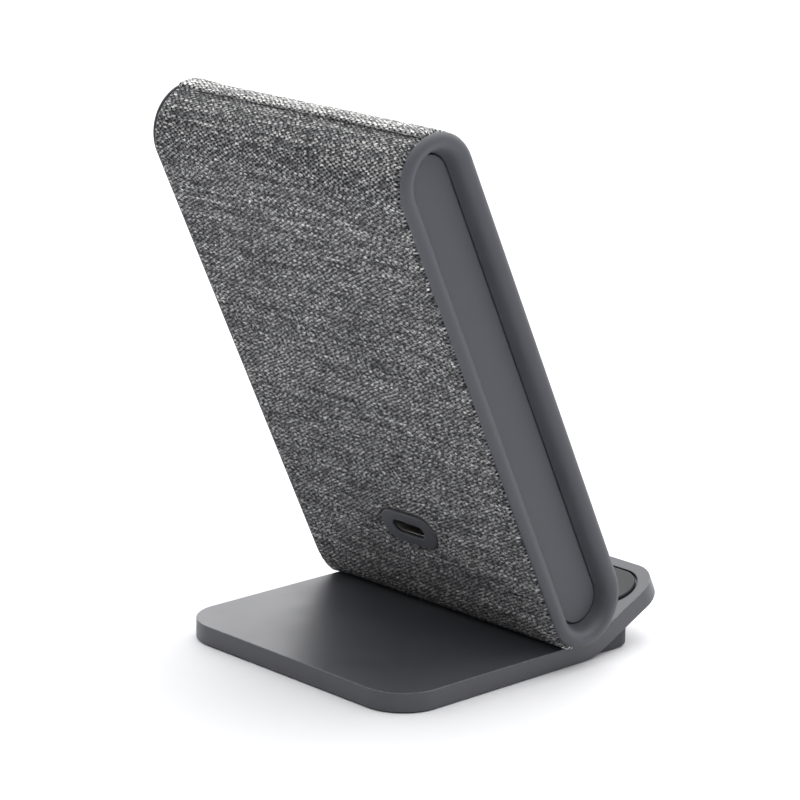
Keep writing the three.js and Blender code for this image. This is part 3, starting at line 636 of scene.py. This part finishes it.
def column_places():
    """X of each column, and how far it is turned in at the sleeve's side edges."""
    inner = np.linspace(-FABRIC_END + 1.0, FABRIC_END - 1.0, SLEEVE_COLUMNS)
    edge_x, edge_drop = np.array(EDGE_TURN).T
    left = -FABRIC_END + edge_x[::-1]
    right = FABRIC_END - edge_x
    places = np.concatenate([left, inner, right])
    drops = np.concatenate([edge_drop[::-1], np.zeros_like(inner), edge_drop])
    return places, drops


def stadium_distance(x, up, width, height, middle):
    """Signed distance from a stadium lying along X."""
    reach = (width - height) / 2
    over = np.maximum(np.abs(x) - reach, 0)
    return np.hypot(over, up - middle) - height / 2


def noise_field(places, run, across_rate, along_rate, seed):
    """Smooth noise over the sleeve, a row for each step along it."""
    return np.array(
        [
            [noise.noise(Vector((x * across_rate, s * along_rate, seed))) for x in places]
            for s in run
        ]
    )


def press_round(out, up, x, where, outline, side):
    """Opens a hole in the cloth: its edge is drawn onto the outline and turned in. The last of the
    four arrays says which points are cut away."""
    width, height, middle = outline
    distance = stadium_distance(x, up, width, height, middle)
    cut = where & (distance < -0.25)
    snap = where & (distance < 0.22)
    reach = (width - height) / 2
    core_x = np.clip(x, -reach, reach)
    away_x, away_up = x - core_x, up - middle
    size = np.maximum(np.hypot(away_x, away_up), 1e-6)
    scale = (height / 2) / size
    x = np.where(snap, core_x + away_x * scale, x)
    up = np.where(snap, middle + away_up * scale, up)
    dip = np.where(where, 0.38 * np.exp(-np.clip(distance, 0, None) / 0.45), 0)
    return out - side * dip, up, x, cut


def fabric_sleeve():
    section = sleeve_section()
    normal = section_normals(section)
    steps = np.linalg.norm(np.diff(section, axis=0), axis=1)
    run = np.concatenate([[0], np.cumsum(steps)])
    places, drops = column_places()
    rows, columns = len(section), len(places)
    x, s = np.meshgrid(places, run)
    wander = noise_field(places, run, 0.12, 0.12, 3.0)
    cross = noise_field(places, run, 0.05, 0.25, 9.0)
    knots = noise_field(places, run, 1.1, 1.6, 5.0)
    across = x / WARP_PITCH + cross + 400
    along = s / WEFT_PITCH + 1.3 * wander + 40
    fuller = FULL_EDGE * smoothstep(FABRIC_END - 7, FABRIC_END - 1.5, x)
    relief = YARN_RELIEF * knots + 0.05 * wander + fuller
    out = section[:, 0][:, None] + normal[:, 0][:, None] * (relief - drops[None, :])
    up = section[:, 1][:, None] + normal[:, 1][:, None] * (relief - drops[None, :])
    on_back = (out > 0) & (up > PORT_BAND[0]) & (up < PORT_BAND[1])
    port = (BEZEL_WIDTH + HOLE_GAP, BEZEL_HEIGHT + HOLE_GAP, PORT_HEIGHT)
    out, up, x, port_cut = press_round(out, up, x, on_back, port, 1)
    on_front = (out < 0) & (up > PIPE_BAND[0]) & (up < PIPE_BAND[1])
    pipe = (2 * PIPE_HOLE, 2 * PIPE_HOLE, PIPE_HEIGHT)
    out, up, x, pipe_cut = press_round(out, up, x, on_front, pipe, -1)
    # painted highlight: the cloth over the top, from 165 to 130 degrees round, is marked to be painted
    # paler
    angle = np.degrees(np.arctan2(section[:, 1] - LENGTH, section[:, 0])) % 360
    last_part = np.arange(rows) > rows / 2
    lap = np.where(last_part, smoothstep(165, 130, angle), 0)
    return sleeve_mesh(x, out, up, across, along, port_cut | pipe_cut, np.repeat(lap, columns))


def sleeve_mesh(x, out, up, across, along, hidden, lap):
    """The sleeve stood on the plate, with its weave coordinates and without the hidden points."""
    rows, columns = x.shape
    y = BOTTOM.y + out * math.cos(LEAN) + up * math.sin(LEAN)
    z = BOTTOM.z - out * math.sin(LEAN) + up * math.cos(LEAN)
    floor_z = PLATE_TOP + 0.06
    z = np.maximum(z, floor_z)
    mount_y = (lowest("seat_saddle")[1] + highest("seat_saddle")[1]) / 2 / MM
    under_saddle = (np.abs(x) < SLOT_HALF[0]) & (np.abs(y - mount_y) < SLOT_HALF[1])
    slot = under_saddle & (z < PLATE_TOP + SLOT_HEIGHT)
    hidden = hidden | slot
    vertices = np.stack([x, y, z], axis=-1).reshape(-1, 3) * MM
    faces = [f for f in grid_faces(rows, columns) if not any(hidden.flat[i] for i in f)]
    used = sorted({i for f in faces for i in f})
    index = {old: new for new, old in enumerate(used)}
    mesh = mesh_from("fabric", vertices[used], [tuple(index[i] for i in f) for f in faces])
    uv_of = np.stack([across.ravel(), along.ravel()], axis=1)[used]
    layer = mesh.uv_layers.new(name="weave")
    corners = np.empty(len(mesh.loops), dtype=np.int32)
    mesh.loops.foreach_get("vertex_index", corners)
    layer.data.foreach_set("uv", uv_of[corners].astype(np.float32).ravel())
    # painted highlight: the lap attribute carries that mark to the fabric's shader
    top_highlight = mesh.attributes.new("lap", "FLOAT", "POINT")
    top_highlight.data.foreach_set("value", lap[used].astype(np.float32))
    return mesh


# ---------------------------------------------------------------- side rims and panels

FAR_TRIM = 0.4  # mm, how much less the right-hand bead stands out past the fuller cloth
RIM_NOSE = 0.45  # mm, rounding of the bead where it meets the fabric
BEAD_END = 128  # degrees round the bead, where it turns down towards the panel
ROUND_STEPS = 44  # round each half turn of a racetrack
STRAIGHT_STEPS = 30
PANEL_EDGE = 0.3  # mm, rounding of the panel's face


def racetrack_turns():
    """(cos, sin, lift) round a racetrack, as a closed loop of sections."""
    loop = []
    for i in range(ROUND_STEPS + 1):
        angle = math.pi * i / ROUND_STEPS
        loop.append((math.cos(angle), math.sin(angle), LENGTH))
    for i in range(1, STRAIGHT_STEPS):
        loop.append((-1.0, 0.0, LENGTH * (1 - i / STRAIGHT_STEPS)))
    for i in range(ROUND_STEPS + 1):
        angle = math.pi + math.pi * i / ROUND_STEPS
        loop.append((math.cos(angle), math.sin(angle), 0.0))
    for i in range(1, STRAIGHT_STEPS):
        loop.append((1.0, 0.0, LENGTH * i / STRAIGHT_STEPS))
    return loop


def swept(name, profile, side, closed=True, caps=False):
    """A profile of (radius, x) points carried round the racetrack on one side of the upright. Caps fill
    the ring of its first and last point."""
    vertices = []
    for cos, sin, lift in racetrack_turns():
        for radius, x in profile:
            vertices.append(in_upright(side * x, radius * cos, lift + radius * sin))
    rows, columns = len(vertices) // len(profile), len(profile)
    faces = grid_faces(rows, columns, closed_rows=True, closed_columns=closed)
    if caps:
        faces.append(tuple(r * columns for r in reversed(range(rows))))
        faces.append(tuple(r * columns + columns - 1 for r in range(rows)))
    if side < 0:
        faces = [tuple(reversed(face)) for face in faces]
    return mesh_from(name, vertices, faces)


def bezier(points, count):
    """Points along a cubic curve."""
    a, b, c, d = (np.array(p, dtype=float) for p in points)
    t = np.linspace(0, 1, count)[:, None]
    return a * (1 - t) ** 3 + 3 * b * t * (1 - t) ** 2 + 3 * c * t * t * (1 - t) + d * t**3


def rim_profile(crest):
    """The rounded bead over the ends of fabric and shell, then the flare down to the panel."""
    inner = FABRIC_END + 0.18
    centre = np.array([RIM_RADIUS - RIM_BEAD, crest - RIM_BEAD])
    start = math.asin((inner + RIM_NOSE - centre[1]) / RIM_BEAD)
    angles = np.linspace(start, math.radians(BEAD_END), 22)
    bead = centre + RIM_BEAD * np.stack([np.cos(angles), np.sin(angles)], axis=1)
    run_in = np.array([-math.sin(start), math.cos(start)])
    face = np.array([bead[0][0] - 0.3, inner])
    nose = bezier([face, face + (0.3, 0), bead[0] - 0.3 * run_in, bead[0]], 6)
    end = bead[-1]
    tangent = np.array([-math.sin(angles[-1]), math.cos(angles[-1])])
    pocket = np.array([PANEL_RADIUS + POCKET_GAP, PANEL_FACE + 0.08])
    flare = bezier([end, end + 1.1 * tangent, pocket + (0.30, 0.75), pocket], 16)
    foot = (pocket[0] - 0.08, PANEL_FACE - PANEL_THICKNESS - 0.3)
    lip = [pocket + (-0.06, -0.10), pocket + (-0.08, -0.5), foot]
    back = [(4.4, PANEL_FACE - 2.3), (SHELL_RADIUS - 0.2, inner)]
    return [tuple(point) for point in (*nose[:-1], *bead, *flare[1:], *lip, *back)]


def side_rims():
    for side, place, trim in ((-1, "left", 0.0), (1, "right", FAR_TRIM)):
        mesh = swept(f"rim_{place}", rim_profile(RIM_CREST - trim), side)
        obj = new_object(f"rim_{place}", mesh, "soft_grey", [f"side_rim_{place}"])
        polish(obj, 50)


def side_panels():
    """A flat insert with a small rounded edge."""
    radius, face, back = PANEL_RADIUS, PANEL_FACE, PANEL_FACE - PANEL_THICKNESS
    angles = np.radians(np.linspace(0, 90, 6))
    edge = [
        (radius - PANEL_EDGE * (1 - math.cos(a)), face - PANEL_EDGE * (1 - math.sin(a)))
        for a in angles
    ]
    profile = [(radius - PANEL_EDGE, back), (radius, back), *edge]
    for side, place in ((-1, "left"), (1, "right")):
        mesh = swept(f"panel_{place}", profile, side, closed=False, caps=True)
        obj = new_object(f"panel_{place}", mesh, "soft_grey", [f"side_panel_{place}"])
        polish(obj, 40)


# ---------------------------------------------------------------- charging port

# Each ring's distance in from the bezel's outline, or out from the opening, and its depth, mm.
BEZEL_OUTSIDE = ((0.0, 1.0), (0.0, 0.30), (0.06, 0.14), (0.18, 0.04), (0.35, 0.0))
BEZEL_INSIDE = ((0.18, 0.0), (0.08, 0.03), (0.02, 0.12), (0.0, 0.45))
BEZEL_PROUD = 0.1  # mm, how far the bezel's face stands out of the cloth


def stadium_loop(width, height, count=40):
    """Points round a stadium lying along X, centred on zero."""
    reach, radius = (width - height) / 2, height / 2
    loop = []
    for side in (1, -1):
        for i in range(count + 1):
            angle = math.pi * (i / count - 0.5)
            x, y = reach + radius * math.cos(angle), radius * math.sin(angle)
            loop.append((side * x, side * y))
    return loop


def port_bezel():
    """A flat-faced oval ring with rounded outer and inner edges."""
    face = FABRIC_RADIUS + BEZEL_PROUD
    rings = [(BEZEL_WIDTH - 2 * gap, BEZEL_HEIGHT - 2 * gap, depth) for gap, depth in BEZEL_OUTSIDE]
    rings += [(PORT_WIDTH + 2 * gap, PORT_OPENING + 2 * gap, depth) for gap, depth in BEZEL_INSIDE]
    vertices = []
    for width, height, depth in rings:
        for x, up in stadium_loop(width, height):
            vertices.append(in_upright(x, face - depth, PORT_HEIGHT + up))
    columns = len(vertices) // len(rings)
    faces = grid_faces(len(rings), columns, closed_rows=True, closed_columns=True)
    mesh = mesh_from("port_ring", vertices, faces)
    obj = new_object("port_ring", mesh, "bezel_plastic", ["port_bezel"])
    polish(obj, 50)


# ---------------------------------------------------------------- base

PLATE_EDGE = 0.75  # mm, rounding of the plate's edges
CORNER_STEPS = 20
BEND_STEPS = 12
CUT_BELOW = -20  # mm from the plate's top, past either face of the plate
CUT_ABOVE = 5
GROOVE_DEPTH = 1.0
RECESS_GAP = 0.3  # mm, all round the rubber
HEAD_HOLE = 3.2  # mm, radius of the hole for a screw's head
SHANK_HOLE = 1.8
HEAD_DEPTH = 1.9


def bent(across, along, height):
    """Bends a point of the flat plate: along is 0 where the bend starts, and positive to the rear."""
    start = BEND_RADIUS * math.tan(LEAN / 2)
    if along >= 0:
        return (across, BEND_Y + start + along, PLATE_TOP + height)
    angle = min(-along / BEND_RADIUS, LEAN)
    rest = -along - BEND_RADIUS * angle
    radius = BEND_RADIUS - height
    y = start - radius * math.sin(angle) - rest * math.cos(angle)
    z = PLATE_TOP + BEND_RADIUS - radius * math.cos(angle) + rest * math.sin(angle)
    return (across, BEND_Y + y, z)


def plate_outline():
    """Half width of the flat plate, and where its rear and its tip are."""
    start = BEND_RADIUS * math.tan(LEAN / 2)
    rear = PLATE_REAR - start
    tip = -(BEND_RADIUS * LEAN + LEDGE_LENGTH - start)
    half = PLATE_WIDTH / 2
    return half, rear, tip


def outline_loop():
    """The flat plate's outline, with its four rounded corners."""
    half, rear, tip = plate_outline()
    corners = (
        (half - REAR_CORNER, rear - REAR_CORNER, REAR_CORNER, 0),
        (REAR_CORNER - half, rear - REAR_CORNER, REAR_CORNER, 90),
        (LEDGE_CORNER - half, tip + LEDGE_CORNER, LEDGE_CORNER, 180),
        (half - LEDGE_CORNER, tip + LEDGE_CORNER, LEDGE_CORNER, 270),
    )
    loop = []
    for x, along, radius, start in corners:
        for i in range(CORNER_STEPS + 1):
            angle = math.radians(start + 90 * i / CORNER_STEPS)
            loop.append((x + radius * math.cos(angle), along + radius * math.sin(angle)))
    return loop


def edge_distance(across, along):
    """How far inside the flat plate's outline a point lies."""
    half, rear, tip = plate_outline()
    radius = REAR_CORNER if along > 0 else LEDGE_CORNER
    end = rear - along if along > 0 else along - tip
    side = half - abs(across)
    if side > radius or end > radius:
        return min(side, end)
    return radius - math.hypot(radius - side, radius - end)


def prism(name, loop, low, high):
    """A straight-sided solid over a loop of (x, y), in mm."""
    count = len(loop)
    vertices = [(x, y, low) for x, y in loop] + [(x, y, high) for x, y in loop]
    faces = [(i, (i + 1) % count, count + (i + 1) % count, count + i) for i in range(count)]
    faces += [tuple(reversed(range(count))), tuple(range(count, 2 * count))]
    return mesh_from(name, vertices, faces)


def carve(obj, tool_mesh):
    """Cuts the tool's shape out of the object."""
    tool = bpy.data.objects.new("tool", tool_mesh)
    bpy.context.scene.collection.objects.link(tool)
    cutter = obj.modifiers.new("carve", "BOOLEAN")
    cutter.operation, cutter.solver, cutter.object = "DIFFERENCE", "EXACT", tool
    bake_modifiers(obj)
    bpy.data.objects.remove(tool)


def shifted(loop, x, y):
    return [(px + x, py + y) for px, py in loop]


def round_loop(radius, x, y, count=32):
    angles = [2 * math.pi * i / count for i in range(count)]
    return [(x + radius * math.cos(a), y + radius * math.sin(a)) for a in angles]


def rounded_loop(width, length, corner, middle):
    """A rectangle with round corners, as points round it."""
    loop = []
    for i, (sx, sy) in enumerate(((1, 1), (-1, 1), (-1, -1), (1, -1))):
        for k in range(9):
            angle = math.radians(90 * (i + k / 8))
            x = sx * (width / 2 - corner) + corner * math.cos(angle)
            y = middle + sy * (length / 2 - corner) + corner * math.sin(angle)
            loop.append((x, y))
    return loop


def flat_tools(start):
    """What is cut from the flat plate: the grip pad's groove, the rubber's recess and two screw holes."""
    groove_middle = -(BEND_RADIUS * LEAN + GROOVE_CENTRE - start)
    groove = shifted(stadium_loop(GROOVE_LENGTH, GROOVE_WIDTH), 0, groove_middle)
    yield prism("groove", groove, -GROOVE_DEPTH, CUT_ABOVE)
    pad_low, pad_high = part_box("base_rubber_pad")
    width, length = ((pad_high[i] - pad_low[i]) / MM + 2 * RECESS_GAP for i in (0, 1))
    middle = (pad_high[1] + pad_low[1]) / 2 / MM - BEND_Y - start
    recess = rounded_loop(width, length, RUBBER_CORNER, middle)
    yield prism("recess", recess, CUT_BELOW, pad_high[2] / MM + RECESS_GAP - PLATE_TOP)
    for side in ("left", "right"):
        low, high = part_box(f"mount_screw_{side}")
        x = (low[0] + high[0]) / 2 / MM
        y = (low[1] + high[1]) / 2 / MM - BEND_Y - start
        head_top = low[2] / MM + HEAD_DEPTH - PLATE_TOP
        yield prism("hole", round_loop(HEAD_HOLE, x, y), CUT_BELOW, head_top)
        yield prism("bore", round_loop(SHANK_HOLE, x, y), CUT_BELOW, CUT_ABOVE)


def bent_plate():
    """The plate is cut and edged flat, then bent up at the front to make the ledge."""
    start = BEND_RADIUS * math.tan(LEAN / 2)
    mesh = prism("bent_plate", outline_loop(), -PLATE_THICKNESS, 0)
    obj = new_object("bent_plate", mesh, "satin_metal", ["base_plate"])
    for tool in flat_tools(start):
        carve(obj, tool)
    bevel = obj.modifiers.new("edges", "BEVEL")
    bevel.width, bevel.segments = PLATE_EDGE, 4
    bevel.limit_method, bevel.angle_limit = "ANGLE", math.radians(40)
    bake_modifiers(obj)
    work = bmesh.new()
    work.from_mesh(obj.data)
    worn_and_lit_edge = work.faces.layers.float.new("worn_and_lit_edge")
    for i in range(BEND_STEPS + 1):
        along = -BEND_RADIUS * LEAN * i / BEND_STEPS
        everything = work.verts[:] + work.edges[:] + work.faces[:]
        plane = {"plane_co": (0, along, 0), "plane_no": (0, 1, 0)}
        bmesh.ops.bisect_plane(work, geom=everything, dist=1e-4, **plane)
    # the top edge's rounding is marked for the pale line: rubbed paint with a painted highlight
    for face in work.faces:
        middle = face.calc_center_median()
        near_edge = edge_distance(middle.x, middle.y) < PLATE_EDGE
        face[worn_and_lit_edge] = 1.0 if near_edge and -PLATE_EDGE < middle.z < -0.01 else 0.0
    for vertex in work.verts:
        vertex.co = Vector(bent(*vertex.co)) * MM
    work.to_mesh(obj.data)
    work.free()
    polish(obj, 40)


def base_pieces():
    bent_plate()
    softened("grip_pad", "ledge_grip_pad", "grip_silicone", 0.3, 4)
    softened("foot_wedge", "front_foot", "dark_rubber", 0.4, 3)
    softened("foot_strip", "front_foot_strip", "dark_rubber", 0.2, 2)
    softened("rubber_pad", "base_rubber_pad", "dark_rubber", 0.25, 2)


def port_pieces():
    port_bezel()
    softened("usb_shell", "usb_c_shell", "bare_steel", 0.06, 2, 50)
    softened("usb_tongue", "usb_c_tongue", "black_plastic", 0.06, 2, 50)


# ---------------------------------------------------------------- surroundings

CAMERA = (-472.46, 479.42, 228.97)  # mm; Y is from the bend line of the plate
AZIMUTH, ELEVATION, ROLL = (math.radians(v) for v in (226.037, 15.067, 1.184))
LENS = 150.74  # mm, on a 36 mm sensor
FLOOR_REACH = 6.0  # metres
TENT = 0.03  # brightness of the studio all round
GLOWS = (  # direction and brightness of its three large soft lights
    ((0, 0, 1), 2.00),
    ((0.60, -0.57, 0.56), 1.75),
    ((0, -0.83, 0.56), 1.22),
)


def camera():
    """The photo's view, from behind the stand and to its left."""
    back = Vector(
        (
            math.sin(AZIMUTH) * math.cos(ELEVATION),
            -math.cos(AZIMUTH) * math.cos(ELEVATION),
            math.sin(ELEVATION),
        )
    )
    level = (-back).cross(Vector((0, 0, 1))).normalized()
    upright = level.cross(-back)
    right = math.cos(ROLL) * level + math.sin(ROLL) * upright
    above = -math.sin(ROLL) * level + math.cos(ROLL) * upright
    data = bpy.data.cameras.new("camera")
    data.lens = LENS
    data.sensor_width = 36
    data.clip_start, data.clip_end = 0.01, 20
    obj = bpy.data.objects.new("camera", data)
    turn = Matrix((right, above, back)).transposed().to_4x4()
    place = (CAMERA[0] * MM, (CAMERA[1] + BEND_Y) * MM, CAMERA[2] * MM)
    obj.matrix_world = Matrix.Translation(place) @ turn
    bpy.context.scene.collection.objects.link(obj)
    bpy.context.scene.camera = obj


def floor():
    corners = [(x * FLOOR_REACH, y * FLOOR_REACH, 0) for x, y in ((-1, -1), (1, -1), (1, 1), (-1, 1))]
    mesh = mesh_from("floor", corners, [(0, 1, 2, 3)], smooth=False)
    obj = bpy.data.objects.new("floor", mesh)
    bpy.context.scene.collection.objects.link(obj)
    shader = Shader("studio_floor")
    mottle = shader.noise(shader.coordinates(), 12, 2)
    shader.colour(shader.mix(mottle, (0.735, 0.737, 0.752), (0.745, 0.747, 0.762)))
    shader.set(Roughness=0.9, Specular_IOR_Level=0.1)
    mesh.materials.append(shader.material)


def studio_world():
    """A white studio lit from overhead and from beyond the stand, with no hard edges to its lights."""
    world = bpy.data.worlds.new("studio")
    world.use_nodes = True
    sky = Nodes(world.node_tree)
    direction = sky.node("ShaderNodeTexCoord").outputs["Generated"]
    brightness = TENT
    for towards, peak in GLOWS:
        facing = sky.node("ShaderNodeVectorMath", operation="DOT_PRODUCT")
        sky.link(direction, facing.inputs[0])
        facing.inputs[1].default_value = Vector(towards).normalized()
        lobe = sky.math("POWER", sky.math("MAXIMUM", facing.outputs["Value"], 0.0), 2.0)
        brightness = sky.math("MULTIPLY_ADD", lobe, peak, brightness)
    background = world.node_tree.nodes["Background"]
    background.inputs["Color"].default_value = (1.0, 1.0, 1.0, 1)
    sky.link(brightness, background.inputs["Strength"])
    return world


def studio():
    scene = bpy.context.scene
    scene.view_settings.view_transform = "Standard"
    scene.world = studio_world()


# ---------------------------------------------------------------- build

carry_over()
cloth = new_object("fabric", fabric_sleeve(), "heather_fabric", ["fabric_sleeve"])
side_rims()
side_panels()
port_pieces()
base_pieces()
camera()
floor()
studio()
